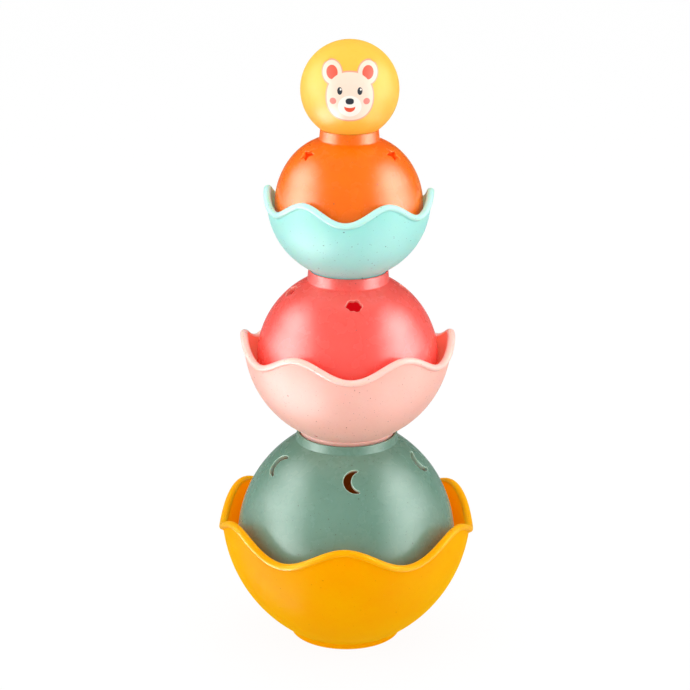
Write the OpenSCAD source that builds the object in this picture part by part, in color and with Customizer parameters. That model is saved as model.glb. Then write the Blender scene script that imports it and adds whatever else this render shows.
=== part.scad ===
// Stacking cup tower: three bowls with wavy rims, three plain cups turned
// upside down as domes, and a hollow ball on top.
// Millimetres, +Z up, origin at the centre of the resting plane.
// Azimuth 0 is the front, towards -Y; positive azimuth turns towards +X.

/* [Ball] */
// Outer radius of the ball
ball_r = 25; // [24:0.5:26]
// Wall of the ball
ball_wall = 2; // [1.6:0.2:2.6]
// Radius of the line where the ball meets its collar
ball_seat_r = 14.45; // [14:0.05:14.6]

/* [Walls] */
// Wall of the yellow bowl and the green dome
wall_large = 2.2; // [2:0.1:2.4]
// Wall of the pink bowl and the coral dome
wall_mid = 2.0; // [1.8:0.1:2.2]
// Wall of the mint bowl and the orange dome
wall_small = 1.8; // [1.6:0.1:2]
// How far a rim bead stands proud of its bowl
bead_proud = 2; // [1.4:0.1:2.2]

/* [Yellow bowl] */
// Outer profile radius
yel_arc = 77.2; // [76.8:0.1:77.6]
// Profile centre, behind the axis
yel_off = 10.7; // [10.4:0.1:11]
// Profile centre above the foot
yel_mid = 68.7; // [68.2:0.1:69.2]
// Mean height of the wavy rim
yel_rim = 67.2; // [66.5:0.1:68]
// Height of a wave above the mean
yel_wave = 5.8; // [5:0.1:6.2]
// Foot ring radius at the floor
yel_foot = 29.4; // [29:0.1:29.8]

/* [Green dome] */
// Outer profile radius
grn_arc = 66.2; // [65.8:0.1:66.4]
// Profile centre, behind the axis
grn_off = 8.0; // [7.8:0.1:8.4]
// Height of the straight skirt
grn_skirt = 13.9; // [13.4:0.1:14.4]
// Top face inside the collar, above the rim
grn_deck = 72.1; // [71.8:0.1:72.4]
// Collar radius at its top
grn_collar = 26.5; // [26.3:0.1:26.7]
// Number of moon cut-outs
moons = 5; // [3:1:6]

/* [Pink bowl] */
// Outer profile radius
pnk_arc = 54.1; // [53.8:0.1:54.4]
// Profile centre above the foot
pnk_mid = 52.3; // [52:0.1:52.6]
// Mean height of the wavy rim
pnk_rim = 52.7; // [52:0.1:53.4]
// Height of a wave above the mean
pnk_wave = 4.7; // [4:0.1:5.2]
// Foot ring radius at the bottom
pnk_foot = 24.2; // [23.8:0.1:24.3]

/* [Coral dome] */
// Outer profile radius
cor_arc = 47.5; // [47.3:0.1:47.8]
// Height of the straight skirt
cor_skirt = 11.6; // [11.2:0.1:12]
// Top face inside the collar, above the rim
cor_deck = 56.8; // [56.5:0.1:57]
// Collar radius at its top
cor_collar = 20.7; // [20.6:0.1:20.9]
// Number of cloud cut-outs
clouds = 4; // [3:1:5]

/* [Mint bowl] */
// Outer profile radius
mnt_arc = 40.1; // [39.9:0.1:40.4]
// Profile centre, in front of the axis
mnt_off = 1.8; // [1.6:0.1:2]
// Profile centre above the foot
mnt_mid = 39.4; // [39.2:0.1:39.6]
// Mean height of the wavy rim
mnt_rim = 42.1; // [41.5:0.1:42.6]
// Height of a wave above the mean
mnt_wave = 4.2; // [3.6:0.1:4.6]
// Foot ring radius at the bottom
mnt_foot = 18.8; // [18.5:0.1:18.9]

/* [Orange dome] */
// Outer profile radius of the sides
org_arc = 38; // [37.8:0.1:38.2]
// Outer profile radius of the flatter shoulder
org_shoulder = 30.7; // [30:0.1:31.4]
// Height of the straight skirt
org_skirt = 10.6; // [10.2:0.1:11]
// Top face inside the collar, above the rim
org_deck = 44.1; // [43.8:0.1:44.3]
// Collar radius at its top
org_collar = 14.9; // [14.9:0.05:15.2]
// Number of star cut-outs
stars = 3; // [3:1:5]

/* [Hidden] */
waves = 6;          // crests round each wavy rim
fine = 180;         // facets of the round forms
petal_steps = 72;   // stations round a wavy rim
gap = 0.05;         // running clearance between stacked pieces
recess_large = 2.2; // foot ring below the base
recess_small = 2.0;
org_turn = 52;      // polar angle at which the orange shoulder begins

// Height at which a dome's rim of radius r comes to rest on the inside of a
// bowl whose inner profile is an arc of radius a centred at (off, mid).
function rest_z(a, off, mid, r) = mid - sqrt(a * a - (r - off) * (r - off));

z_yel = 0;
grn_r = grn_arc - grn_off;
z_grn = z_yel + rest_z(yel_arc - wall_large, -yel_off, yel_mid, grn_r) + gap;
z_pnk = z_grn + grn_deck + gap;
z_cor = z_pnk + rest_z(pnk_arc - wall_mid, 0, pnk_mid, cor_arc) + gap;
z_mnt = z_cor + cor_deck + gap;
z_org = z_mnt + rest_z(mnt_arc - wall_small, mnt_off, mnt_mid, org_arc) + gap;
org_top = 49.5;     // collar edge above the orange rim
z_ball = z_org + org_top + sqrt(ball_r * ball_r - ball_seat_r * ball_seat_r);

// ---------------------------------------------------------------- bowls

// Turned part of a bowl, up to the height cut. a, off and mid give the outer
// profile arc, t the wall, foot the foot ring and rec its depth.
module bowl_body(a, off, mid, t, cut, foot, rec) {
    rotate_extrude($fn = fine) {
        difference() {
            intersection() {
                translate([off, mid]) circle(r = a, $fn = 360);
                translate([0, rec]) square([a + 20, cut - rec]);
            }
            intersection() {
                translate([off, mid]) circle(r = a - t, $fn = 360);
                translate([0, rec + t]) square([a + 20, cut]);
            }
        }
        polygon([[foot - t, 0], [foot, 0], [foot + 0.9, rec + 1.4], [foot - t, rec + 1.4]]);
    }
}

// Radius of a profile arc at height z.
function arc_r(a, off, mid, z) = off + sqrt(a * a - (z - mid) * (z - mid));

// Height of the top of a wavy rim at azimuth p.
function rim_z(rim, wave, turn, p) = rim + wave * cos(waves * (p - turn));

// One station of a wavy rim: inner wall, rounded bead, outer wall.
function rim_station(a, off, mid, t, low, top, p) =
    let (w = (t + bead_proud) / 2, h = w * 0.82,
         zb = top - h,
         ro = arc_r(a, off, mid, zb),
         rb = ro + bead_proud - w,
         zi = [for (f = [0, 0.35, 0.7]) low + f * (zb - low)],
         inner = [for (z = zi) [arc_r(a - t, off, mid, z) + 0.1, z]],
         bead = [for (q = [180, 145, 115, 90, 65, 35, 0, -35, -65])
                    [rb + w * cos(q), zb + h * sin(q)]],
         zo = [for (f = [0.66, 0.33, 0]) low + f * (zb - 1.3 * h - low)],
         outer = [for (z = zo) [arc_r(a, off, mid, z) - 0.1, z]])
    [for (v = concat(inner, bead, outer)) [v[0] * sin(p), -v[0] * cos(p), v[1]]];

// Wavy band of a bowl, closed all round, rooted below the height cut.
module wavy_rim(a, off, mid, t, cut, rim, wave, turn) {
    n = petal_steps;
    m = 15;
    pts = [for (i = [0:n - 1])
              for (v = rim_station(a, off, mid, t, cut - 1.5,
                                   rim_z(rim, wave, turn, i * 360 / n), i * 360 / n)) v];
    faces = [for (i = [0:n - 1]) for (j = [0:m - 1])
                [i * m + j, i * m + (j + 1) % m,
                 ((i + 1) % n) * m + (j + 1) % m, ((i + 1) % n) * m + j]];
    tris = [for (f = faces) each [[f[2], f[1], f[0]], [f[3], f[2], f[0]]]];
    polyhedron(points = pts, faces = tris, convexity = 6);
}

module wavy_bowl(a, off, mid, t, cut, foot, rec, rim, wave, turn) {
    union() {
        bowl_body(a, off, mid, t, cut, foot, rec);
        wavy_rim(a, off, mid, t, cut, rim, wave, turn);
    }
}

// ---------------------------------------------------------------- domes

// Centre of a shoulder arc of radius sh that runs on smoothly from a profile
// arc of radius a at polar angle turn.
function sh_off(a, off, sh, turn) = off + (a - sh) * sin(turn);
function sh_mid(a, skirt, sh, turn) = skirt + (a - sh) * cos(turn);

// Half section of a dome above its skirt, up to the height top. With a
// shoulder radius the profile turns to the flatter arc at polar angle turn.
module dome_section(a, off, skirt, sh, turn, top) {
    split = sh > 0 ? skirt + a * cos(turn) : top;
    intersection() {
        translate([off, skirt]) circle(r = a, $fn = 360);
        translate([0, skirt]) square([a + 20, split - skirt]);
    }
    if (sh > 0)
        intersection() {
            translate([sh_off(a, off, sh, turn), sh_mid(a, skirt, sh, turn)])
                circle(r = sh, $fn = 360);
            translate([0, split - 0.01]) square([a + 20, top - split + 0.01]);
        }
}

// Turned dome, rim at z = 0. The skirt is straight up to the profile centre,
// the top is flat inside a raised collar.
module dome_body(a, off, skirt, t, deck, collar, collar_in, top, sh = 0, turn = 0) {
    rotate_extrude($fn = fine)
    difference() {
        union() {
            dome_section(a, off, skirt, sh, turn, deck);
            square([a + off, skirt]);
            translate([0, deck - 1.7]) square([collar_in, 1.7]);
            polygon([[collar_in - 1, deck - 6], [collar + 0.5, deck - 6],
                     [collar + 0.5, deck - 1.4], [collar, top], [collar_in - 1, top]]);
        }
        dome_section(a - t, off, skirt, sh > 0 ? sh - t : 0, turn, deck - t);
        translate([0, -1]) square([a + off - t, skirt + 1]);
        translate([0, deck]) square([collar_in, 40]);
    }
}

// Places a flat outline on a dome at azimuth p and latitude q, as a cutter
// that runs along the surface normal.
module on_dome(a, off, skirt, t, p, q)
    rotate([0, 0, p]) translate([0, -off, skirt]) rotate([90 - q, 0, 0])
        translate([0, 0, a - t - 3]) linear_extrude(height = t + 6) children();

// Crescent moon with blunt tips.
module moon_outline()
    difference() {
        circle(r = 6.5, $fn = 96);
        translate([3.2, 0]) circle(r = 5.7, $fn = 96);
        translate([1.5, -10]) square([10, 20]);
    }

// Puffy cloud.
module cloud_outline()
    union() {
        circle(r = 2.7, $fn = 48);
        translate([-2.7, -0.2]) circle(r = 1.6, $fn = 48);
        translate([2.7, -0.2]) circle(r = 1.6, $fn = 48);
        translate([-1.4, 1.4]) circle(r = 1.9, $fn = 48);
        translate([1.2, 1.6]) circle(r = 1.9, $fn = 48);
        translate([-1.2, -1.5]) circle(r = 1.7, $fn = 48);
        translate([1.3, -1.8]) circle(r = 1.9, $fn = 48);
    }

// Five-pointed star, one point up.
module star_outline(r = 4.8, ri = 2.35)
    polygon([for (k = [0:9]) let (d = k % 2 == 0 ? r : ri) [d * sin(36 * k), d * cos(36 * k)]]);

// ---------------------------------------------------------------- pieces

module yellow_bowl() color([1.0, 0.71, 0.05])
    translate([0, 0, z_yel])
        wavy_bowl(yel_arc, -yel_off, yel_mid, wall_large, 56, yel_foot,
                  recess_large, yel_rim, yel_wave, -0.5);

module green_dome() color([0.52, 0.69, 0.61])
    translate([0, 0, z_grn])
        difference() {
            dome_body(grn_arc, -grn_off, grn_skirt, wall_large, grn_deck,
                      grn_collar, 25.4, grn_deck + 2.4);
            for (k = [0:moons - 1])
                on_dome(grn_arc, -grn_off, grn_skirt, wall_large, 7 + k * 360 / moons, 44.5)
                    moon_outline();
        }

module pink_bowl() color([0.98, 0.78, 0.73])
    translate([0, 0, z_pnk])
        wavy_bowl(pnk_arc, 0, pnk_mid, wall_mid, 42.5, pnk_foot,
                  recess_large, pnk_rim, pnk_wave, 32);

module coral_dome() color([1.0, 0.42, 0.38])
    translate([0, 0, z_cor])
        difference() {
            dome_body(cor_arc, 0, cor_skirt, wall_mid, cor_deck,
                      cor_collar, 19.8, cor_deck + 3);
            for (k = [0:clouds - 1])
                on_dome(cor_arc, 0, cor_skirt, wall_mid, 5.8 + k * 360 / clouds, 51.5)
                    cloud_outline();
        }

module mint_bowl() color([0.68, 0.94, 0.9])
    translate([0, 0, z_mnt])
        wavy_bowl(mnt_arc, mnt_off, mnt_mid, wall_small, 33, mnt_foot,
                  recess_small, mnt_rim, mnt_wave, 27.5);

module orange_dome() color([1.0, 0.5, 0.12])
    difference() {
        translate([0, 0, z_org])
            difference() {
                dome_body(org_arc, 0, org_skirt, wall_small, org_deck,
                          org_collar, 13, org_top, org_shoulder, org_turn);
                for (k = [0:stars - 1])
                    on_dome(org_shoulder, sh_off(org_arc, 0, org_shoulder, org_turn),
                            sh_mid(org_arc, org_skirt, org_shoulder, org_turn), wall_small,
                            62 + k * 360 / stars, 51.3)
                        star_outline();
            }
        translate([0, 0, z_ball]) sphere(r = ball_r + gap, $fn = fine);
    }

// The ball is two halves that meet on the plane y = 0. The front half has a
// short lip that sits inside the rear half.
lip = 1.4;

// Turned profile of half the ball's wall, its open edge on the x axis.
module ball_half()
    difference() {
        circle(r = ball_r, $fn = 360);
        circle(r = ball_r - ball_wall, $fn = 360);
        translate([-40, -40]) square([40, 80]);
        translate([-1, -40]) square([80, 40]);
    }

module ball_front_shell() color([1.0, 0.78, 0.2])
    translate([0, 0, z_ball]) rotate([90, 0, 0])
        rotate_extrude($fn = fine)
            union() {
                ball_half();
                translate([ball_r - ball_wall - 0.4, -lip])
                    square([ball_wall - 0.7, lip + 0.8]);
            }

module ball_rear_shell() color([1.0, 0.78, 0.2])
    translate([0, 0, z_ball]) rotate([-90, 0, 0])
        rotate_extrude($fn = fine)
            difference() {
                ball_half();
                translate([ball_r - ball_wall - 1, -1])
                    square([ball_wall - 0.1 + gap, lip + 1.1]);
            }

yellow_bowl();
green_dome();
pink_bowl();
coral_dome();
mint_bowl();
orange_dome();
ball_front_shell();
ball_rear_shell();
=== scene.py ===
import math

import bmesh
import bpy
import numpy as np
from mathutils import Matrix, Vector
from mathutils.geometry import delaunay_2d_cdt


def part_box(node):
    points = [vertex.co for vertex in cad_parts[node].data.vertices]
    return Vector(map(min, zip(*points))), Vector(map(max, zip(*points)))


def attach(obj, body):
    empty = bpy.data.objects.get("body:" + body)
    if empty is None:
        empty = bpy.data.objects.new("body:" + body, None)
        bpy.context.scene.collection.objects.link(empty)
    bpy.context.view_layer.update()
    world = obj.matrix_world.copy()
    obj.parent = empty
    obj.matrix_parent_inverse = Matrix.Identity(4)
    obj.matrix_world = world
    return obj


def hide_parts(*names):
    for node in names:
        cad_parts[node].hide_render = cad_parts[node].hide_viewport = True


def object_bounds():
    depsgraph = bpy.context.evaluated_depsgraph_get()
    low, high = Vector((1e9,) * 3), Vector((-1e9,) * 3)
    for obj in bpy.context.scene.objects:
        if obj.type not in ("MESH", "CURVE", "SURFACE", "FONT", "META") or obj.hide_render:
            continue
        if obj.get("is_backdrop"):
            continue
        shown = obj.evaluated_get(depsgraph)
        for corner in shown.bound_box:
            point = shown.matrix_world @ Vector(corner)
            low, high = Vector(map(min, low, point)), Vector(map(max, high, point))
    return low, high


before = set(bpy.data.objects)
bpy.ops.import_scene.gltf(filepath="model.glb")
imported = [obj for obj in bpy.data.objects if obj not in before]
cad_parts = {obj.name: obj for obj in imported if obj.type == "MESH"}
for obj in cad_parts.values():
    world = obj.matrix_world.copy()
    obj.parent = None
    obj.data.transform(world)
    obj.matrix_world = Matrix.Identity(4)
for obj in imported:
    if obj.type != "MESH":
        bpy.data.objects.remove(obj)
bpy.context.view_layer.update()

MM = 0.001
TAU = 2 * math.pi


def foot_z(node):
    """Height in mm of the lowest point of a CAD node."""
    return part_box(node)[0].z / MM


# ------------------------------------------------------------------ materials

def rgb(r, g, b):
    """Linear colour from 0-255 display values."""
    def lin(c):
        c = c / 255
        return c / 12.92 if c <= 0.04045 else ((c + 0.055) / 1.055) ** 2.4
    return (lin(r), lin(g), lin(b), 1.0)


def node(tree, kind, **inputs):
    n = tree.nodes.new(kind)
    for k, v in inputs.items():
        setattr(n, k, v)
    return n


def math_node(tree, op, a, b=None, clamp=False):
    n = tree.nodes.new("ShaderNodeMath")
    n.operation = op
    n.use_clamp = clamp
    for i, v in enumerate((a, b)):
        if v is None:
            continue
        if isinstance(v, (int, float)):
            n.inputs[i].default_value = v
        else:
            tree.links.new(v, n.inputs[i])
    return n.outputs[0]


def mix_colour(tree, fac, a, b, blend="MIX"):
    n = tree.nodes.new("ShaderNodeMix")
    n.data_type = "RGBA"
    n.blend_type = blend
    for sock, v in ((n.inputs[0], fac), (n.inputs[6], a), (n.inputs[7], b)):
        if isinstance(v, (int, float)):
            sock.default_value = v
        elif isinstance(v, tuple):
            sock.default_value = v
        else:
            tree.links.new(v, sock)
    return n.outputs[2]


def plastic(name, base, deep, speck, specks=0.5, rough=0.34, sss=0.12, pale=0.25,
            seed=0.0, coat=0.0, orange_peel=0.25, spec=0.5, tint=(1, 1, 1), depth=0.0035,
            glow=None, sheen=None):
    """Moulded bioplastic: slightly uneven colour, fine dark fibre flecks and a
    few pale ones, satin surface with a faint orange-peel ripple."""
    m = bpy.data.materials.new(name)
    m.use_nodes = True
    t = m.node_tree
    t.nodes.clear()
    out = t.nodes.new("ShaderNodeOutputMaterial")
    bsdf = t.nodes.new("ShaderNodeBsdfPrincipled")
    t.links.new(bsdf.outputs[0], out.inputs[0])
    co = t.nodes.new("ShaderNodeTexCoord")
    shift = t.nodes.new("ShaderNodeMapping")
    shift.inputs["Location"].default_value = (seed, seed * 1.7, seed * 0.6)
    t.links.new(co.outputs["Object"], shift.inputs["Vector"])
    p = shift.outputs[0]

    def noise(scale, detail=2.0, rough_=0.5, vec=None):
        n = t.nodes.new("ShaderNodeTexNoise")
        n.inputs["Scale"].default_value = scale
        n.inputs["Detail"].default_value = detail
        n.inputs["Roughness"].default_value = rough_
        t.links.new(vec or p, n.inputs["Vector"])
        return n.outputs["Fac"]

    # Cloudy unevenness of the melt, then a finer mottle.
    cloud = noise(38, 3.0)
    fine = noise(520, 2.0)
    tone = math_node(t, "ADD", math_node(t, "MULTIPLY", cloud, 0.75),
                     math_node(t, "MULTIPLY", fine, 0.25))
    spread = t.nodes.new("ShaderNodeMapRange")
    spread.inputs["From Min"].default_value = 0.32
    spread.inputs["From Max"].default_value = 0.68
    t.links.new(tone, spread.inputs["Value"])
    colour = mix_colour(t, spread.outputs[0], deep, base)

    # Flecks: short fibres, some lying across and some along the wall.
    fleck_total = None
    for k, (scale, stretch, size, share) in enumerate((
            (360, (1, 1, 0.6), 0.115, 0.30), (470, (0.6, 1, 1), 0.125, 0.28),
            (820, (1, 1, 1), 0.17, 0.34))):
        mp = t.nodes.new("ShaderNodeMapping")
        mp.inputs["Location"].default_value = (0.13 * k + seed, 0.29 * k, 0.41 * k)
        mp.inputs["Rotation"].default_value = (0.7 * k, 0.5 * k + 0.3, 0.9 * k)
        mp.inputs["Scale"].default_value = stretch
        t.links.new(co.outputs["Object"], mp.inputs["Vector"])
        vo = t.nodes.new("ShaderNodeTexVoronoi")
        vo.feature = "F1"
        vo.inputs["Scale"].default_value = scale
        t.links.new(mp.outputs[0], vo.inputs["Vector"])
        sep = t.nodes.new("ShaderNodeSeparateColor")
        t.links.new(vo.outputs["Color"], sep.inputs[0])
        here = math_node(t, "LESS_THAN", sep.outputs[0], share * specks)
        radius = math_node(t, "MULTIPLY", math_node(t, "ADD", sep.outputs[1], 0.5), size)
        soft = t.nodes.new("ShaderNodeMapRange")
        soft.inputs["From Min"].default_value = 1.0
        soft.inputs["From Max"].default_value = 0.55
        t.links.new(math_node(t, "DIVIDE", vo.outputs["Distance"], radius), soft.inputs["Value"])
        dot = math_node(t, "MULTIPLY", soft.outputs[0], here)
        dot = math_node(t, "MULTIPLY", dot, math_node(t, "ADD",
                        math_node(t, "MULTIPLY", sep.outputs[2], 0.60), 0.45))
        fleck_total = dot if fleck_total is None else math_node(t, "MAXIMUM", fleck_total, dot)
    colour = mix_colour(t, fleck_total, colour, speck)

    # A few pale ones, under the surface.
    vo = t.nodes.new("ShaderNodeTexVoronoi")
    vo.inputs["Scale"].default_value = 560
    t.links.new(p, vo.inputs["Vector"])
    sep = t.nodes.new("ShaderNodeSeparateColor")
    t.links.new(vo.outputs["Color"], sep.inputs[0])
    here = math_node(t, "LESS_THAN", sep.outputs[1], 0.10)
    near = math_node(t, "LESS_THAN", vo.outputs["Distance"], 0.13)
    colour = mix_colour(t, math_node(t, "MULTIPLY", math_node(t, "MULTIPLY", here, near), pale),
                        colour, (0.9, 0.9, 0.88, 1))
    t.links.new(colour, bsdf.inputs["Base Color"])

    # Finish.
    rn = noise(140, 3.0)
    r = math_node(t, "ADD", math_node(t, "MULTIPLY", rn, 0.10), rough - 0.05)
    r = math_node(t, "ADD", r, math_node(t, "MULTIPLY", fleck_total, 0.15))
    t.links.new(r, bsdf.inputs["Roughness"])
    bump = t.nodes.new("ShaderNodeBump")
    bump.inputs["Strength"].default_value = orange_peel
    bump.inputs["Distance"].default_value = 0.00006
    h = math_node(t, "ADD", noise(260, 2.0), math_node(t, "MULTIPLY", noise(1500, 2.0), 0.35))
    h = math_node(t, "SUBTRACT", h, math_node(t, "MULTIPLY", fleck_total, 0.25))
    t.links.new(h, bump.inputs["Height"])
    t.links.new(bump.outputs[0], bsdf.inputs["Normal"])
    bsdf.inputs["IOR"].default_value = 1.48
    bsdf.inputs["Subsurface Weight"].default_value = sss
    bsdf.inputs["Subsurface Radius"].default_value = (1.0, 0.55, 0.35)
    bsdf.inputs["Subsurface Scale"].default_value = depth
    bsdf.inputs["Specular IOR Level"].default_value = spec
    bsdf.inputs["Specular Tint"].default_value = (*tint, 1)
    if sheen:
        bsdf.inputs["Sheen Weight"].default_value = sheen[1]
        bsdf.inputs["Sheen Roughness"].default_value = 0.5
        bsdf.inputs["Sheen Tint"].default_value = sheen[0]
    if glow:
        # Painted glow: a faint emission on the inside faces, standing in for light that has come through the
        # translucent wall behind.
        bsdf.inputs["Emission Color"].default_value = glow[0]
        bsdf.inputs["Emission Strength"].default_value = glow[1]
    bsdf.inputs["Coat Weight"].default_value = coat
    bsdf.inputs["Coat Roughness"].default_value = 0.12
    m.diffuse_color = base
    return m


# ------------------------------------------------------------------ mesh tools

def obj_from(name, verts, faces, materials, face_mats=None, normal_of=None):
    """Object from arrays in mm. normal_of(co in mm) gives exact normals where
    the surface is a known round form and zeros elsewhere."""
    me = bpy.data.meshes.new(name)
    me.from_pydata([tuple(v) for v in (np.asarray(verts) * MM)], [], [tuple(int(i) for i in f) for f in faces])
    if face_mats is not None:
        me.polygons.foreach_set("material_index", np.asarray(face_mats, np.int32))
    bm = bmesh.new()
    bm.from_mesh(me)
    bmesh.ops.remove_doubles(bm, verts=bm.verts, dist=2e-6)
    bmesh.ops.dissolve_degenerate(bm, dist=1e-7, edges=bm.edges)
    bmesh.ops.recalc_face_normals(bm, faces=bm.faces)
    open_edges = sum(1 for e in bm.edges if len(e.link_faces) != 2)
    bm.to_mesh(me)
    bm.free()
    for m in materials:
        me.materials.append(m)
    me.polygons.foreach_set("use_smooth", np.ones(len(me.polygons), bool))
    if normal_of is not None:
        co = np.zeros(len(me.vertices) * 3)
        me.vertices.foreach_get("co", co)
        me.normals_split_custom_set_from_vertices([tuple(n) for n in normal_of(co.reshape(-1, 3) / MM)])
    ob = bpy.data.objects.new(name, me)
    bpy.context.scene.collection.objects.link(ob)
    print(f"{name}: {len(me.vertices)} vertices, {len(me.polygons)} faces, {open_edges} open edges")
    return ob


def rounded(points, steps=6):
    """Polyline with round corners. points are (r, z) or (r, z, radius)."""
    out = []
    n = len(points)
    for i, q in enumerate(points):
        c = np.array(q[:2], float)
        rad = q[2] if len(q) > 2 else 0
        if rad <= 0 or i in (0, n - 1):
            out.append(c)
            continue
        a = np.array(points[i - 1][:2], float) - c
        b = np.array(points[i + 1][:2], float) - c
        la, lb = np.linalg.norm(a), np.linalg.norm(b)
        a, b = a / la, b / lb
        half = math.acos(max(-1, min(1, float(a @ b)))) / 2
        tan = min(rad / math.tan(half), la * 0.48, lb * 0.48)
        rad = tan * math.tan(half)
        mid = (a + b) / np.linalg.norm(a + b)
        centre = c + mid * rad / math.sin(half)
        p0, p1 = c + a * tan, c + b * tan
        a0 = math.atan2(*(p0 - centre)[::-1])
        a1 = math.atan2(*(p1 - centre)[::-1])
        d = (a1 - a0 + math.pi) % TAU - math.pi
        for k in range(steps + 1):
            w = a0 + d * k / steps
            out.append(centre + rad * np.array([math.cos(w), math.sin(w)]))
    return np.array(out)


def arc_r(a, off, mid, z):
    return off + np.sqrt(np.maximum(a * a - (z - mid) ** 2, 0))


def revolve(profile, az, z0=0.0):
    """Grid of vertices for profile (m, 2) or (n, m, 2) at azimuths az (radians).
    A first or last point on the axis becomes a single vertex."""
    n = len(az)
    pr = np.broadcast_to(profile, (n,) + profile.shape) if profile.ndim == 2 else profile
    m = pr.shape[1]
    v = np.stack([pr[:, :, 0] * np.sin(az)[:, None], -pr[:, :, 0] * np.cos(az)[:, None],
                  pr[:, :, 1] + z0], axis=2)
    faces = []
    for i in range(n):
        k = (i + 1) % n
        for j in range(m - 1):
            a, b, c, d = i * m + j, i * m + j + 1, k * m + j + 1, k * m + j
            if pr[i, j, 0] < 1e-6:
                faces.append((a, b, c))
            elif pr[i, j + 1, 0] < 1e-6:
                faces.append((a, b, d))
            else:
                faces.append((a, b, c, d))
    return v.reshape(-1, 3), faces


# ------------------------------------------------------------------ bowls

WAVES = 6


def bowl(name, mats, a, off, mid, t, proud, rec, foot, rim, wave, turn, z0):
    """Wavy bowl; mats are for the outside, the inside (painted shade) and the rolled bead (painted paler, a
    painted highlight).
    """
    n = 540
    az = np.arange(n) * TAU / n
    ph = WAVES * (az - math.radians(turn))
    top = rim + wave * np.cos(ph)
    slope = -WAVES * wave * np.sin(ph) / arc_r(a, off, mid, rim)
    k = np.sqrt(1 + slope ** 2)
    w = (t + proud) / 2
    h = 0.82 * w * k
    zb = top - h
    ro = arc_r(a, off, mid, zb)
    rb = ro + proud - w

    # Inside: flat floor, fillet, wall.
    ai = a - t
    zf = rec + t
    fil = 5.0
    cz = zf + fil
    cr = off + math.sqrt((ai - fil) ** 2 - (cz - mid) ** 2)
    end = math.atan2(cz - mid, cr - off)
    floor = [(0, zf)] + [(cr * f, zf) for f in (0.25, 0.5, 0.75, 0.93)]
    fillet = [(cr + fil * math.cos(q), cz + fil * math.sin(q))
              for q in np.linspace(-math.pi / 2, end, 9)]
    inner0 = np.array(floor + fillet)
    ti = np.arctan2(zb - mid, arc_r(ai, off, mid, zb) - off)
    m2 = 34
    f = (np.arange(1, m2 + 1) / m2) ** 0.92
    th = end + (ti[:, None] - end) * f[None, :]
    inner = np.stack([off + ai * np.cos(th), mid + ai * np.sin(th)], 2)

    # Rolled bead.
    q = np.radians(np.linspace(180, -55, 20))[1:]
    bead = np.stack([rb[:, None] + w * np.cos(q)[None, :],
                     zb[:, None] + h[:, None] * np.sin(q)[None, :]], 2)
    # Cove between the bead and the wall.
    p0 = bead[:, -1]
    d0 = np.stack([w * math.sin(q[-1]) * np.ones(n), -h * math.cos(q[-1])], 1)
    d0 /= np.linalg.norm(d0, axis=1)[:, None]
    z3 = zb - h - 0.75 * k
    p3 = np.stack([arc_r(a, off, mid, z3), z3], 1)
    p1 = p0 + d0 * 0.75
    p2 = p3 + np.stack([np.zeros(n), 0.75 * k], 1)
    s = np.linspace(0, 1, 8)[1:]
    cove = np.stack([((1 - u) ** 3) * p0 + 3 * u * (1 - u) ** 2 * p1
                     + 3 * u * u * (1 - u) * p2 + u ** 3 * p3 for u in s], 1)

    # Outside: wall, then the foot ring.
    slope_f = 0.9 / (rec + 1.4)
    zj = rec + 1.0
    for _ in range(20):
        zj = mid - math.sqrt(a * a - (foot + slope_f * zj - off) ** 2)
    rj = foot + slope_f * zj
    t_end = math.atan2(zj + 0.7 - mid, arc_r(a, off, mid, zj + 0.7) - off)
    t_top = np.arctan2(z3 - mid, p3[:, 0] - off)
    m4 = 40
    f = np.arange(1, m4 + 1) / m4
    th = t_top[:, None] + (t_end - t_top[:, None]) * f[None, :]
    outer = np.stack([off + a * np.cos(th), mid + a * np.sin(th)], 2)
    ri = foot - t
    low = rounded([tuple(outer[0, -1]), (rj, zj, 0.45), (foot, 0, 0.45), (ri, 0, 0.45),
                   (ri, rec, 0.4), (0, rec)], 6)[1:]
    low = np.vstack([low[:-1], [(ri * fr, rec) for fr in (0.9, 0.6, 0.3)], low[-1:]])
    prof = np.concatenate([np.broadcast_to(inner0, (n,) + inner0.shape), inner, bead, cove,
                           outer, np.broadcast_to(low, (n,) + low.shape)], 1)
    v, faces = revolve(prof, az, z0)

    def normal_of(c):
        r = np.hypot(c[:, 0], c[:, 1])
        dr, dz = r - off, c[:, 2] - z0 - mid
        d = np.hypot(dr, dz)
        out = np.zeros_like(c)
        for rad, sign, low_z in ((a, 1, zj + 0.6), (ai, -1, zf + 0.5)):
            hit = (np.abs(d - rad) < 0.002) & (r > 1) & (c[:, 2] - z0 > low_z)
            u = np.stack([c[:, 0] / np.maximum(r, 1e-9) * dr, c[:, 1] / np.maximum(r, 1e-9) * dr, dz], 1)
            out[hit] = sign * (u / d[:, None])[hit]
        return out

    row = np.zeros(prof.shape[1] - 1, int)
    row[:len(inner0) + m2 - 1] = 1                     # inside
    row[len(inner0) + m2 - 1:len(inner0) + m2 + bead.shape[1]] = 2
    return obj_from(name, v, faces, mats, face_mats=np.tile(row, n), normal_of=normal_of)


# ------------------------------------------------------------------ cut-outs

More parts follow.
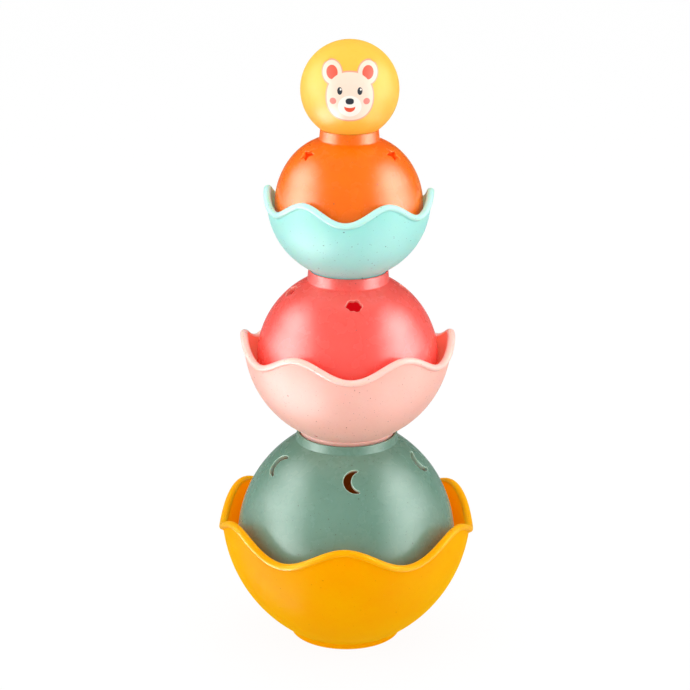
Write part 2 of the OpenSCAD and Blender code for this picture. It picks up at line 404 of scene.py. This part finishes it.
def smooth_loop(pts, count, sigma):
    """Closed outline resampled evenly and with softened corners."""
    p = np.asarray(pts, float)
    p = np.vstack([p, p[:1]])
    seg = np.hypot(*np.diff(p, axis=0).T)
    s = np.concatenate([[0], np.cumsum(seg)])
    big = 1024
    u = np.arange(big) * s[-1] / big
    z = np.interp(u, s, p[:, 0]) + 1j * np.interp(u, s, p[:, 1])
    kk = np.fft.fftfreq(big, d=s[-1] / big) * TAU
    f = np.fft.fft(z) * np.exp(-(kk * sigma) ** 2 / 2)
    z = np.fft.ifft(f)
    d = np.fft.ifft(f * 1j * kk)
    pick = (np.arange(count) * big // count)
    z, d = z[pick], d[pick]
    d = d / np.abs(d)
    area = np.sum(z.real * np.roll(z.imag, -1) - z.imag * np.roll(z.real, -1))
    if area < 0:
        z, d = z[::-1], -d[::-1]
    return np.stack([z.real, z.imag], 1), np.stack([d.imag, -d.real], 1)


def moon_loop():
    big, small, shift, cut = 6.5, 5.7, 3.2, 1.5
    a0 = math.atan2(math.sqrt(big ** 2 - cut ** 2), cut)
    outer = [(big * math.cos(q), big * math.sin(q)) for q in np.linspace(a0, TAU - a0, 160)]
    b0 = math.atan2(math.sqrt(small ** 2 - (cut - shift) ** 2), cut - shift)
    inner = [(shift + small * math.cos(q), small * math.sin(q)) for q in np.linspace(TAU - b0, b0, 120)]
    return smooth_loop(outer + inner, 132, 0.24)


def cloud_loop():
    discs = [(0, 0, 2.7), (-2.7, -0.2, 1.6), (2.7, -0.2, 1.6), (-1.4, 1.4, 1.9), (1.2, 1.6, 1.9),
             (-1.2, -1.5, 1.7), (1.3, -1.8, 1.9)]
    pts = []
    for q in np.linspace(0, TAU, 720, endpoint=False):
        c, s = math.cos(q), math.sin(q)
        best = 0
        for x, y, r in discs:
            b = x * c + y * s
            disc = b * b - (x * x + y * y - r * r)
            if disc > 0:
                best = max(best, b + math.sqrt(disc))
        pts.append((best * c, best * s))
    return smooth_loop(pts, 132, 0.26)


def star_loop():
    pts = []
    for k in range(10):
        r = 4.8 if k % 2 == 0 else 2.35
        pts.append((r * math.sin(math.radians(36 * k)), r * math.cos(math.radians(36 * k))))
    return smooth_loop(pts, 120, 0.22)


def inside(poly, pts):
    """Which pts lie inside the closed polygon."""
    x, y = pts[:, 0][:, None], pts[:, 1][:, None]
    x0, y0 = poly[:, 0][None], poly[:, 1][None]
    x1, y1 = np.roll(poly[:, 0], -1)[None], np.roll(poly[:, 1], -1)[None]
    cross = ((y0 > y) != (y1 > y)) & (x < (x1 - x0) * (y - y0) / np.where(y1 == y0, 1e-12, y1 - y0) + x0)
    return np.count_nonzero(cross, axis=1) % 2 == 1


def near(loop, pts, dist):
    d = np.hypot(pts[:, 0][:, None] - loop[:, 0][None], pts[:, 1][:, None] - loop[:, 1][None])
    return d.min(1) < dist


def cdt(points, loops):
    """Constrained triangulation: 2-D vertices and triangles."""
    pts = [Vector((float(p[0]), float(p[1]))) for p in points]
    edges = []
    for lp in loops:
        base = len(pts)
        pts += [Vector((float(p[0]), float(p[1]))) for p in lp]
        edges += [(base + i, base + (i + 1) % len(lp)) for i in range(len(lp))]
    v, _, f, *_rest = delaunay_2d_cdt(pts, edges, [], 0, 1e-6, False)
    return np.array([(p.x, p.y) for p in v]), [tuple(t) for t in f]


# ------------------------------------------------------------------ domes

def dome(name, mats, a, off, skirt, t, deck, collar, collar_in, top, z0, loop, count, az0, lat,
         band, reach, seat=None, shoulder=None):
    per = 360 // count
    # mats are for the outside, the inside (painted shade) and the sides of the cut-outs (painted paler, a
    # painted highlight)
    n = 360
    deg = np.arange(n)                       # whole degrees from az0
    az = np.radians(az0 + deg)
    ai = a - t
    th_c = 90 - lat                          # polar angle of the cut-outs
    fillet, fillet_in = 0.36, 0.2

    # The profile's upper arc (the same as the lower one without a shoulder).
    turn = 90
    au, ou, mu = a, off, skirt
    if shoulder:
        au, turn = shoulder
        ou = off + (a - au) * math.sin(math.radians(turn))
        mu = skirt + (a - au) * math.cos(math.radians(turn))

    def at(theta, rad):
        q = math.radians(theta)
        if shoulder and theta < turn:
            return (ou + (rad - a + au) * math.sin(q), mu + (rad - a + au) * math.cos(q))
        return (off + rad * math.sin(q), skirt + rad * math.cos(q))

    # Collar wall meets the dome arc.
    base_r = collar + 0.5
    zc = mu + math.sqrt(au * au - (base_r - ou) ** 2)
    th_j = math.degrees(math.asin((base_r - ou) / au))
    lead = math.ceil(th_j + 1.2)
    rows = [at(q, a) for q in np.arange(lead, 90.001, 1.0)]
    if seat is None:
        head = [(0, deck), (collar_in * 0.3, deck), (collar_in * 0.6, deck), (collar_in * 0.9, deck),
                (collar_in, deck, 0.6), (collar_in, top, 0.42), (collar, top, 0.55),
                (base_r, zc, 0.55)]
    else:
        ball, zs, rs = seat                  # ball radius, its centre height, seat radius
        cup = [(ball * math.sin(q), zs - ball * math.cos(q))
               for q in np.linspace(math.asin(collar_in / ball), math.asin(rs / ball), 8)]
        head = [(0, deck), (collar_in * 0.5, deck), (collar_in * 0.9, deck), (collar_in, deck, 0.5)]
        head += cup[:-1] + [(cup[-1][0], cup[-1][1], 0.1), (collar, top, 0.16), (base_r, zc, 0.6)]
    head = rounded(head + [rows[0]], 6)
    j = 0.35
    tail = [(a + off, skirt * 0.66), (a + off, skirt * 0.33), (a + off, j + 0.7),
            (a + off, 0, 0.5), (a + off - t, 0, 0.5), (a + off - t, j + 0.7), (a + off - t, skirt * 0.5)]
    tail = rounded(tail, 5)
    th_top = math.degrees(math.acos((deck - t - mu) / (au - t)))
    in_rows = [at(q, ai) for q in np.arange(90, math.ceil(th_top + 1.0) - 0.001, -1.0)]
    roof = rounded([in_rows[-1], (*at(th_top, ai), 0.8), (max(at(th_top, ai)[0] - 6, 4), deck - t),
                    (0, deck - t)], 5)[1:]
    prof = np.vstack([head, rows[1:], tail, in_rows, roof])
    i_out = len(head) - 1                    # index of theta = lead on the outside
    i_in = len(head) + len(rows) - 1 + len(tail)   # index of theta = 90 on the inside
    v, faces = revolve(prof, az, z0)
    m = len(prof)
    t0, t1 = round(th_c) - band, round(th_c) + band

    def cells(i, jj):
        """Is the cell at column i, row jj inside a cut-out's patch?"""
        rel = (i + per // 2) % per - per // 2
        if not (-reach <= rel < reach):
            return False
        if i_out + (t0 - lead) <= jj < i_out + (t1 - lead):
            return True
        return i_in + (90 - t1) <= jj < i_in + (90 - t0)

    keep, which = [], []
    idx = 0
    for i in range(n):
        for jj in range(m - 1):
            if not cells(i, jj):
                keep.append(faces[idx])
                which.append(1 if jj >= i_in - 3 else 0)
            idx += 1
    # Cut-out patch at azimuth 0 of the pattern, then copies.
    xy, out_n = loop
    count_l = len(xy)
    q = math.radians(lat)
    d = np.array([0, -math.cos(q), math.sin(q)])
    ey = np.array([0, math.sin(q), math.cos(q)])
    ex = np.array([1.0, 0, 0])
    c0 = np.array([0, -ou, mu])

    def lift(pts2, rad):
        """Heights along d of the round surface of radius rad over pts2."""
        w = np.full(len(pts2), rad, float)
        for _ in range(12):
            p = c0 + pts2[:, :1] * ex + pts2[:, 1:] * ey + w[:, None] * d
            r = np.hypot(p[:, 0], p[:, 1])
            w -= np.hypot(r - ou, p[:, 2] - mu) - rad
        return w

    def place(pts2, w):
        return c0 + pts2[:, :1] * ex + pts2[:, 1:] * ey + w[:, None] * d

    def to_uv(p3, rad):
        r = np.hypot(p3[:, 0], p3[:, 1])
        azi = np.degrees(np.arctan2(p3[:, 0], -p3[:, 1]))
        the = np.degrees(np.arctan2(r - ou, p3[:, 2] - mu))
        return np.stack([azi * 0.8, the], 1)

    def from_uv(uv, rad):
        azi, the = np.radians(uv[:, 0] / 0.8), np.radians(uv[:, 1])
        r = ou + rad * np.sin(the)
        return np.stack([r * np.sin(azi), -r * np.cos(azi), mu + rad * np.cos(the)], 1)

    patch_v, patch_f, patch_m = [], [], []

    def add(vs, fs, mi):
        base = sum(len(x) for x in patch_v)
        patch_v.append(vs)
        patch_m.extend([mi] * len(fs))
        patch_f.extend(tuple(base + i for i in f) for f in fs)

    def skin(rad, lateral):
        lp2 = xy + out_n * lateral
        p3 = place(lp2, lift(lp2, rad))
        uv = to_uv(p3, rad)
        grid = np.array([(g * 0.8, th) for g in range(-reach, reach + 1) for th in range(t0, t1 + 1)], float)
        edge = (np.abs(np.abs(grid[:, 0]) - reach * 0.8) < 1e-6) | (grid[:, 1] == t0) | (grid[:, 1] == t1)
        drop = (inside(uv, grid) | near(uv, grid, 0.42)) & ~edge
        v2, f2 = cdt(grid[~drop], [uv])
        cen = np.array([v2[list(f)].mean(0) for f in f2])
        out = ~inside(uv, cen)
        add(from_uv(v2, rad), [f for f, o in zip(f2, out) if o], 0 if rad == au else 1)
        return p3

    skin(au, fillet)
    skin(au - t, fillet_in)
    rings = []
    for k in range(6):
        phi = math.pi / 2 * k / 5
        lp2 = xy + out_n * fillet * (1 - math.sin(phi))
        rings.append(place(lp2, lift(lp2, au) - fillet * (1 - math.cos(phi))))
    wo, wi = lift(xy, au) - fillet, lift(xy, au - t) + fillet_in
    rings += [place(xy, wo + (wi - wo) * f) for f in (0.2, 0.5, 0.8)]
    for k in range(4):
        phi = math.pi / 2 * (3 - k) / 3
        lp2 = xy + out_n * fillet_in * (1 - math.sin(phi))
        rings.append(place(lp2, lift(lp2, au - t) + fillet_in * (1 - math.cos(phi))))
    vs = np.vstack(rings)
    fs = [(r * count_l + i, r * count_l + (i + 1) % count_l, (r + 1) * count_l + (i + 1) % count_l,
           (r + 1) * count_l + i) for r in range(len(rings) - 1) for i in range(count_l)]
    add(vs, fs, 2)
    pv = np.vstack(patch_v)
    all_v, all_f = [v], list(keep)
    base = len(v)
    for c in range(count):
        w = math.radians(az0 + c * 360 / count)
        rot = np.array([[math.cos(w), -math.sin(w), 0], [math.sin(w), math.cos(w), 0], [0, 0, 1]])
        all_v.append(pv @ rot.T + np.array([0, 0, z0]))
        all_f += [tuple(base + i for i in f) for f in patch_f]
        which += patch_m
        base += len(pv)

    def normal_of(c):
        z = c[:, 2] - z0
        r = np.hypot(c[:, 0], c[:, 1])
        rr = np.maximum(r, 1e-9)
        out = np.zeros_like(c)
        arcs = [(a, off, skirt, turn - 0.01 if shoulder else lead - 0.5, 90.1)]
        if shoulder:
            arcs.append((au, ou, mu, lead - 0.5, turn + 0.01))
        for rad, co_, cm_, th_a, th_b in arcs:
            dr, dz = r - co_, z - cm_
            dd = np.hypot(dr, dz)
            the = np.degrees(np.arctan2(dr, dz))
            u = np.stack([c[:, 0] / rr * dr, c[:, 1] / rr * dr, dz], 1) / np.maximum(dd, 1e-9)[:, None]
            ok = (the > th_a) & (the < th_b)
            hit = (np.abs(dd - rad) < 0.002) & ok
            out[hit] = u[hit]
            hit = (np.abs(dd - rad + t) < 0.002) & ok & (the > th_top + 0.5)
            out[hit] = -u[hit]
        side = np.stack([c[:, 0] / rr, c[:, 1] / rr, np.zeros(len(c))], 1)
        hit = (np.abs(r - (a + off)) < 0.002) & (z < skirt) & (z > 0.6)
        out[hit] = side[hit]
        hit = (np.abs(r - (a + off - t)) < 0.002) & (z < skirt) & (z > 0.6)
        out[hit] = -side[hit]
        return out

    return obj_from(name, np.vstack(all_v), all_f, mats, face_mats=which, normal_of=normal_of)


# ------------------------------------------------------------------ ball

def ellipse(cx, cy, rx, ry, n=48, tilt=0.0, power=2.0):
    q = np.linspace(0, TAU, n, endpoint=False)
    c, s = np.cos(q), np.sin(q)
    x = rx * np.sign(c) * np.abs(c) ** (2 / power)
    y = ry * np.sign(s) * np.abs(s) ** (2 / power)
    w = math.radians(tilt)
    return np.stack([cx + x * math.cos(w) - y * math.sin(w), cy + x * math.sin(w) + y * math.cos(w)], 1)


def smile(cx, cy, half, depth, lift_):
    """Open smile: shallow upper curve, deeper lower curve."""
    x = np.linspace(-half, half, 25)
    up = cy - lift_ * (1 - (x / half) ** 2)
    lo = cy - depth * np.sqrt(np.maximum(1 - (x / half) ** 2, 0))
    return np.vstack([np.stack([cx + x[::-1], up[::-1]], 1), np.stack([cx + x[1:-1], lo[1:-1]], 1)])


def ball_shell(name, mats, radius, wall, zc, front, regions):
    """Half of the hollow ball. regions are (outline, material index) printed on
    the front, later ones on top."""
    sgn = -1 if front else 1                # the pole points towards sgn * Y
    n = 240
    az = np.arange(n) * TAU / n
    inner_r = radius - wall
    seam = 0.22
    edge = math.degrees(math.acos(seam / radius))
    q0 = 54 if front else 0
    qs = np.radians(np.concatenate([np.arange(q0, 88, 1.5), [edge - 1.0, edge]]))
    outer = [(radius * math.sin(q), radius * math.cos(q)) for q in qs]
    # Seam: small chamfer, then the lip or the rebate, then the inner wall.
    lipz = 1.4
    if front:
        mid = [(radius - 0.16, 0.03), (radius - 0.5, 0.0), (radius - 1.1, 0.0), (radius - 1.1, -lipz),
               (inner_r - 0.4, -lipz), (inner_r - 0.4, 0.8), (math.sqrt(inner_r ** 2 - 0.64), 0.8)]
    else:
        mid = [(radius - 0.16, 0.03), (radius - 0.5, 0.0), (radius - 1.05, 0.0), (radius - 1.05, 1.5),
               (math.sqrt(inner_r ** 2 - 2.25), 1.5)]
    inn = [(inner_r * math.sin(q), inner_r * math.cos(q)) for q in np.radians(np.arange(84, 0, -4.0))]
    prof = np.array(outer + mid + inn + [(0, inner_r)])
    v, faces = revolve(prof, az)
    # revolve gives (r sin, -r cos, h); turn it so that h runs along sgn * Y
    v = np.stack([v[:, 0], sgn * v[:, 2], -v[:, 1]], 1)
    mats_idx = [0] * len(faces)
    vs, fs = [v], list(faces)
    if front:
        rim_r = radius * math.sin(math.radians(q0))
        ring = np.stack([rim_r * np.sin(az), rim_r * np.cos(az)], 1)
        step = 0.8
        g = np.arange(-26, 27) * step
        gx, gy = np.meshgrid(g, g)
        gy = gy + (np.arange(len(g)) % 2)[None, :] * step / 2
        pts = np.stack([gx.ravel(), gy.ravel()], 1)
        pts = pts[np.hypot(pts[:, 0], pts[:, 1]) < rim_r - 0.5]
        for outline, _ in regions:
            pts = pts[~near(outline, pts, 0.3)]
        v2, f2 = cdt(np.vstack([ring, pts]), [o for o, _ in regions])
        cen = np.array([v2[list(f)].mean(0) for f in f2])
        which = np.zeros(len(f2), int)
        for outline, mi in regions:
            which[inside(outline, cen)] = mi
        p3 = np.stack([v2[:, 0], -np.sqrt(radius ** 2 - (v2 ** 2).sum(1)), v2[:, 1]], 1)
        base = len(v)
        vs.append(p3)
        fs += [tuple(base + i for i in f) for f in f2]
        mats_idx += list(which)
    allv = np.vstack(vs) + np.array([0, 0, zc])

    def normal_of(c):
        p = c - np.array([0, 0, zc])
        d = np.linalg.norm(p, axis=1)
        out = np.zeros_like(c)
        hit = np.abs(d - radius) < 0.002
        out[hit] = (p / d[:, None])[hit]
        hit = (np.abs(d - inner_r) < 0.002) & (np.abs(p[:, 1]) > 1.6)
        out[hit] = -(p / d[:, None])[hit]
        return out

    return obj_from(name, allv, fs, mats, face_mats=mats_idx, normal_of=normal_of)


# ------------------------------------------------------------------ pieces

def family(name, base, deep, speck, inner, inside_shaded_deep, edge_lit, edge_lit_deep, glow, **look):
    """The same plastic on the outside, inside and on thin edges (a bowl's bead
    or the sides of a cut-out). The inside copy is painted shade: deeper, darker colours plus a painted glow,
    standing in for shade and for colour bounced from the pieces around. The edge copy is painted paler, a
    painted highlight standing in for the light that thin edges let through."""
    edge = dict(look, rough=min(look["rough"], 0.32), spec=max(look["spec"], 0.3))
    return [plastic(name + "_look", base, deep, speck, **look),
            plastic(name + "_inside", inner, inside_shaded_deep, speck, glow=glow, **look),
            plastic(name + "_edge", edge_lit, edge_lit_deep, speck, **edge)]


# Each family's inside colours are painted shade and painted reflection of the neighbouring pieces (deeper,
# darker tints), its edge colours are a painted highlight (paler tints), and its glow pair is a painted glow on
# the inside.
yellow = family("yellow_plastic", rgb(255, 170, 0), rgb(254, 160, 0), rgb(214, 116, 6),
                rgb(255, 152, 0), rgb(254, 143, 0), rgb(255, 176, 6), rgb(255, 166, 2),
                ((1, 0.19, 0, 1), 0.44), specks=0.30, rough=0.42, sss=0.7, pale=0.05, seed=0.3,
                spec=0.010, tint=(1.0, 0.7, 0.1), sheen=((1.0, 0.62, 0.0, 1), 0.5))
green = family("green_plastic", rgb(113, 150, 132), rgb(104, 142, 124), rgb(46, 54, 44),
               rgb(84, 88, 70), rgb(78, 82, 64), rgb(168, 200, 182), rgb(158, 192, 174),
               ((1, 0.25, 0.02, 1), 0.025), specks=1.0, rough=0.27, sss=0.30, pale=0.12, seed=1.1,
               spec=0.38, orange_peel=0.04)
pink = family("pink_plastic", rgb(253, 192, 178), rgb(250, 184, 169), rgb(170, 94, 82),
              rgb(254, 160, 138), rgb(251, 152, 130), rgb(255, 208, 197), rgb(253, 202, 190),
              ((1, 0.30, 0.16, 1), 0.12), specks=0.75, rough=0.46, sss=0.7, pale=0.14, seed=2.3,
              spec=0.24)
coral = family("coral_plastic", rgb(255, 97, 87), rgb(253, 89, 81), rgb(190, 44, 40),
               rgb(226, 36, 46), rgb(220, 30, 40), rgb(255, 146, 134), rgb(254, 138, 126),
               ((1, 0.0, 0.03, 1), 0.16), specks=0.32, rough=0.27, sss=0.55, pale=0.03, seed=3.7,
               spec=0.6, orange_peel=0.04)
mint = family("mint_plastic", rgb(165, 232, 223), rgb(158, 227, 218), rgb(96, 126, 114),
              rgb(180, 232, 218), rgb(172, 226, 212), rgb(190, 241, 232), rgb(184, 237, 228),
              ((0.8, 0.9, 0.7, 1), 0.10), specks=0.70, rough=0.46, sss=0.7, pale=0.14, seed=4.9,
              spec=0.24)
orange = family("orange_plastic", rgb(255, 122, 0), rgb(253, 114, 0), rgb(186, 56, 4),
                rgb(250, 84, 0), rgb(246, 76, 0), rgb(255, 144, 52), rgb(254, 136, 44),
                ((1, 0.08, 0, 1), 0.42), specks=0.36, rough=0.27, sss=0.55, pale=0.03, seed=6.1,
                spec=0.6, tint=(1, 0.97, 0.88), orange_peel=0.04)
ball_mat = plastic("ball_plastic_look", rgb(255, 200, 76), rgb(255, 193, 62), rgb(226, 150, 30),
                   specks=0.05, rough=0.40, sss=0.4, pale=0.03, seed=7.3, spec=0.30, depth=0.0022)


def ink(name, col, dark):
    return plastic(name, col, dark, dark, specks=0.0, rough=0.34, sss=0.1, pale=0.0, seed=8.8)


inks = [ink("print_cream", rgb(253, 226, 206), rgb(250, 220, 198)),
        ink("print_outline", rgb(246, 168, 138), rgb(243, 160, 130)),
        ink("print_coral", rgb(238, 98, 74), rgb(232, 90, 66)),
        ink("print_white", rgb(255, 246, 236), rgb(252, 241, 230)),
        ink("print_dark", rgb(44, 52, 62), rgb(38, 46, 56)),
        ink("print_blush", rgb(247, 138, 124), rgb(244, 130, 116)),
        ink("print_red", rgb(240, 78, 28), rgb(235, 72, 24))]
CREAM, LINE, CORAL, WHITE, DARK, BLUSH, RED = range(1, 8)

z_yel = foot_z("yellow_bowl")
z_grn = foot_z("green_dome")
z_pnk = foot_z("pink_bowl")
z_cor = foot_z("coral_dome")
z_mnt = foot_z("mint_bowl")
z_org = foot_z("orange_dome")
z_ball = foot_z("ball_front_shell") + 25.0

made = {}
made["yellow_bowl"] = bowl("yellow_bowl_wall", yellow, 77.2, -10.7, 68.7, 2.2, 2.0, 2.2, 29.4,
                           67.2, 5.8, -0.5, z_yel)
made["pink_bowl"] = bowl("pink_bowl_wall", pink, 54.1, 0, 52.3, 2.0, 2.0, 2.2, 24.2,
                         52.7, 4.7, 32, z_pnk)
made["mint_bowl"] = bowl("mint_bowl_wall", mint, 40.1, 1.8, 39.4, 1.8, 2.0, 2.0, 18.8,
                         42.1, 4.2, 27.5, z_mnt)
made["green_dome"] = dome("green_dome_shell", green, 66.2, -8.0, 13.9, 2.2, 72.1, 26.5, 25.4,
                          74.5, z_grn, moon_loop(), 5, 7, 44.5, 9, 15)
made["coral_dome"] = dome("coral_dome_shell", coral, 47.5, 0, 11.6, 2.0, 56.8, 20.7, 19.8,
                          59.8, z_cor, cloud_loop(), 4, 5.8, 51.5, 8, 14)
made["orange_dome"] = dome("orange_dome_shell", orange, 38, 0, 10.6, 1.8, 44.1, 14.9, 13,
                           49.5, z_org, star_loop(), 3, 62, 51.3, 10, 15,
                           seat=(25.05, z_ball - z_org, 14.5), shoulder=(30.7, 52))

# Printed face: a plain bear cub.
head = ellipse(0, -1.9, 10.6, 9.6, 96, power=2.25)
PRINT_SCALE, PRINT_UP = np.array([1.08, 1.24]), 3.0
regions = [
    (ellipse(-8.1, 7.3, 4.9, 4.9, 56), LINE), (ellipse(8.1, 7.3, 4.9, 4.9, 56), LINE),
    (ellipse(0, -1.9, 11.15, 10.15, 96, power=2.25), LINE),
    (ellipse(-8.1, 7.3, 4.4, 4.4, 56), CREAM), (ellipse(8.1, 7.3, 4.4, 4.4, 56), CREAM),
    (ellipse(-8.2, 7.4, 2.6, 2.6, 40), CORAL), (ellipse(8.2, 7.4, 2.6, 2.6, 40), CORAL),
    (head, CREAM),
    (ellipse(0, -5.6, 5.4, 4.3, 64), WHITE),
    (ellipse(0, -3.55, 1.9, 1.25, 40, power=2.4), DARK),
    (smile(0, -5.7, 2.6, 2.3, 0.55), RED),
    (ellipse(-4.6, 0.5, 1.15, 1.5, 40), DARK), (ellipse(4.6, 0.5, 1.15, 1.5, 40), DARK),
    (ellipse(-4.2, 1.1, 0.4, 0.45, 20), WHITE), (ellipse(5.0, 1.1, 0.4, 0.45, 20), WHITE),
    (ellipse(-7.7, -3.6, 1.5, 1.3, 36), BLUSH), (ellipse(7.7, -3.6, 1.5, 1.3, 36), BLUSH),
]
regions = [(o * PRINT_SCALE + np.array([0, PRINT_UP]), k) for o, k in regions]
made["ball_front_shell"] = ball_shell("ball_front_wall", [ball_mat] + inks, 25.0, 2.0, z_ball, True, regions)
made["ball_rear_shell"] = ball_shell("ball_rear_wall", [ball_mat], 25.0, 2.0, z_ball, False, [])

# Moulding gate of the pink bowl, a small raised scar low on the front.
ga, gz = math.radians(-29.8), 120.1 - z_pnk
gr = float(arc_r(54.1, 0, 52.3, gz))
out_dir = np.array([gr * math.sin(ga), -gr * math.cos(ga), gz - 52.3]) / 54.1
side_dir = np.array([math.cos(ga), math.sin(ga), 0])
up_dir = np.cross(out_dir, side_dir)
sv, sf = revolve(np.array([(0, 0.22), (0.25, 0.2), (0.5, 0.1), (0.62, 0.16), (0.85, 0.14), (1.0, 0.0),
                           (0.95, -0.5), (0, -0.5)]), np.arange(24) * TAU / 24)
spot = np.array([gr * math.sin(ga), -gr * math.cos(ga), gz + z_pnk])
gate_mat = plastic("pink_plastic_gate", rgb(232, 130, 116), rgb(224, 118, 104), rgb(150, 60, 50),
                   specks=0.3, rough=0.5, sss=0.5, pale=0.0, seed=2.9, spec=0.26)
scar = obj_from("pink_bowl_gate_scar", spot + sv[:, :1] * side_dir + sv[:, 1:2] * up_dir + sv[:, 2:] * out_dir,
                sf, [gate_mat])

body_of = {"ball_front_shell": "ball", "ball_rear_shell": "ball"}
for cad, ob in made.items():
    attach(ob, body_of.get(cad, cad))
    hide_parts(cad)
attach(scar, "pink_bowl")

# ------------------------------------------------------------------ stage

scene = bpy.context.scene

FILL = 1.00              # light of the white room on the bodies
ROOM = 0.05              # its brightness in reflections
KEY = 1.2
floor_mat = bpy.data.materials.new("floor_look")
floor_mat.use_nodes = True
ft = floor_mat.node_tree
fb = ft.nodes["Principled BSDF"]
fb.inputs["Roughness"].default_value = 0.9
fb.inputs["Specular IOR Level"].default_value = 0.1
fn = ft.nodes.new("ShaderNodeTexNoise")
fn.inputs["Scale"].default_value = 4.0
fr = ft.nodes.new("ShaderNodeMapRange")
fr.inputs["To Min"].default_value = 0.60
fr.inputs["To Max"].default_value = 0.62
fc = ft.nodes.new("ShaderNodeCombineColor")
ft.links.new(fn.outputs["Fac"], fr.inputs["Value"])
for i in range(3):
    ft.links.new(fr.outputs[0], fc.inputs[i])
ft.links.new(fc.outputs[0], fb.inputs["Base Color"])
# A lit white table: it glows a little itself, and still takes a soft shadow.
fe = ft.nodes.new("ShaderNodeEmission")
fl = ft.nodes.new("ShaderNodeLightPath")
glow = math_node(ft, "ADD", 0.95, math_node(ft, "MULTIPLY", fl.outputs["Is Camera Ray"], 0.09))
glow = math_node(ft, "SUBTRACT", glow, math_node(ft, "MULTIPLY", fl.outputs["Is Glossy Ray"], 0.85))
ft.links.new(glow, fe.inputs["Strength"])
fm = ft.nodes.new("ShaderNodeMixShader")
fx = math_node(ft, "ADD", 0.45, math_node(ft, "MULTIPLY", fl.outputs["Is Camera Ray"], 0.45))
fx = math_node(ft, "ADD", fx, math_node(ft, "MULTIPLY", fl.outputs["Is Glossy Ray"], 0.30))
ft.links.new(fx, fm.inputs[0])
ft.links.new(fb.outputs[0], fm.inputs[1])
ft.links.new(fe.outputs[0], fm.inputs[2])
ft.links.new(fm.outputs[0], ft.nodes["Material Output"].inputs[0])
bpy.ops.mesh.primitive_plane_add(size=40, location=(0, 0, -0.00002))
floor = bpy.context.object
floor.name = "floor"
floor.data.materials.append(floor_mat)
floor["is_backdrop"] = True

world = bpy.data.worlds.new("studio")
scene.world = world
world.use_nodes = True
wt = world.node_tree
bg = wt.nodes["Background"]
bg.inputs["Color"].default_value = (1, 1, 1, 1)
lp = wt.nodes.new("ShaderNodeLightPath")
wm = math_node(wt, "ADD", FILL, math_node(wt, "MULTIPLY", lp.outputs["Is Glossy Ray"], ROOM - FILL))
wt.links.new(wm, bg.inputs["Strength"])


def softbox(name, az, dist, low, high, w, radiance, part="both"):
    """Upright area light facing the tower, at azimuth az from the front
    (positive towards +X) and from height low to high. part says whether it
    lights the bodies, is seen as a highlight on them, or both."""
    data = bpy.data.lights.new(name, "AREA")
    data.shape = "RECTANGLE"
    data.size, data.size_y = w, high - low
    data.energy = radiance * math.pi * w * (high - low)
    ob = bpy.data.objects.new(name, data)
    q = math.radians(az)
    ob.location = (dist * math.sin(q), -dist * math.cos(q), (low + high) / 2)
    ob.rotation_euler = Vector((-ob.location.x, -ob.location.y, 0)).to_track_quat("-Z", "Y").to_euler()
    ob.visible_camera = False
    ob.visible_diffuse = part != "gloss"
    ob.visible_glossy = part != "body"
    scene.collection.objects.link(ob)
    return ob


# Bodies are lit softly from both sides; strip panels give the soft highlights.
softbox("left_key", -62, 1.2, 0.05, 1.15, 1.0, KEY * 1.2, "body")
softbox("right_key", 66, 1.2, 0.05, 1.15, 1.0, KEY, "body")
top = softbox("top_key", 180, 0.35, 0, 0.9, 0.9, 1.0, "body")
top.location.z = 1.3
top.rotation_euler = (math.radians(-12), 0, 0)
softbox("left_wide", -85, 0.85, 0.0, 1.0, 1.4, 1.1, "gloss")
softbox("right_wide", 82, 0.85, 0.0, 1.0, 1.4, 1.1, "gloss")
for name, az, low, high, w, power in (
        ("left_1", -68, 0.003, 0.16, 0.40, 8.0), ("left_2", -79, 0.16, 0.40, 0.50, 8.0),
        ("left_3", -88, 0.40, 0.66, 0.52, 7.5), ("left_4", -92, 0.66, 0.90, 0.52, 3.5),
        ("right_1", 64, 0.003, 0.16, 0.42, 5.5), ("right_2", 75, 0.16, 0.40, 0.50, 7.5),
        ("right_3", 82, 0.40, 0.70, 0.50, 8.0), ("right_4", 86, 0.70, 0.95, 0.50, 4.5)):
    # Nested strips, so that each panel fades towards its sides.
    for k, (wide, share) in enumerate(((0.34, 0.22), (0.68, 0.26), (1.02, 0.26), (1.36, 0.18),
                                       (1.70, 0.12))):
        softbox(f"{name}_{k}", az, 0.55 + 0.004 * k, low, high, w * wide, power * share * 1.06, "gloss")
for name, az, power in (("left_table", -65, 15.0), ("right_table", 63, 4.0)):
    strip = softbox(name, az, 0.30, 0, 0.36, 0.34, power, "gloss")
    strip.location.z = 0.002
    strip.rotation_euler = (math.pi, 0, -math.radians(az))

cam_data = bpy.data.cameras.new("camera")
cam_data.sensor_width = 36.0
cam_data.lens = 36.0 * 2130 / 690
cam_data.clip_start = 0.01
cam = bpy.data.objects.new("camera", cam_data)
cam.matrix_world = (Matrix.Translation((-0.0014, -1.060, 0.499))
                    @ Matrix.Rotation(math.radians(90 - 17.7), 4, "X")
                    @ Matrix.Rotation(math.radians(0.45), 4, "Z"))
scene.collection.objects.link(cam)
scene.camera = cam
scene.view_settings.view_transform = "Standard"

low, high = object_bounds()
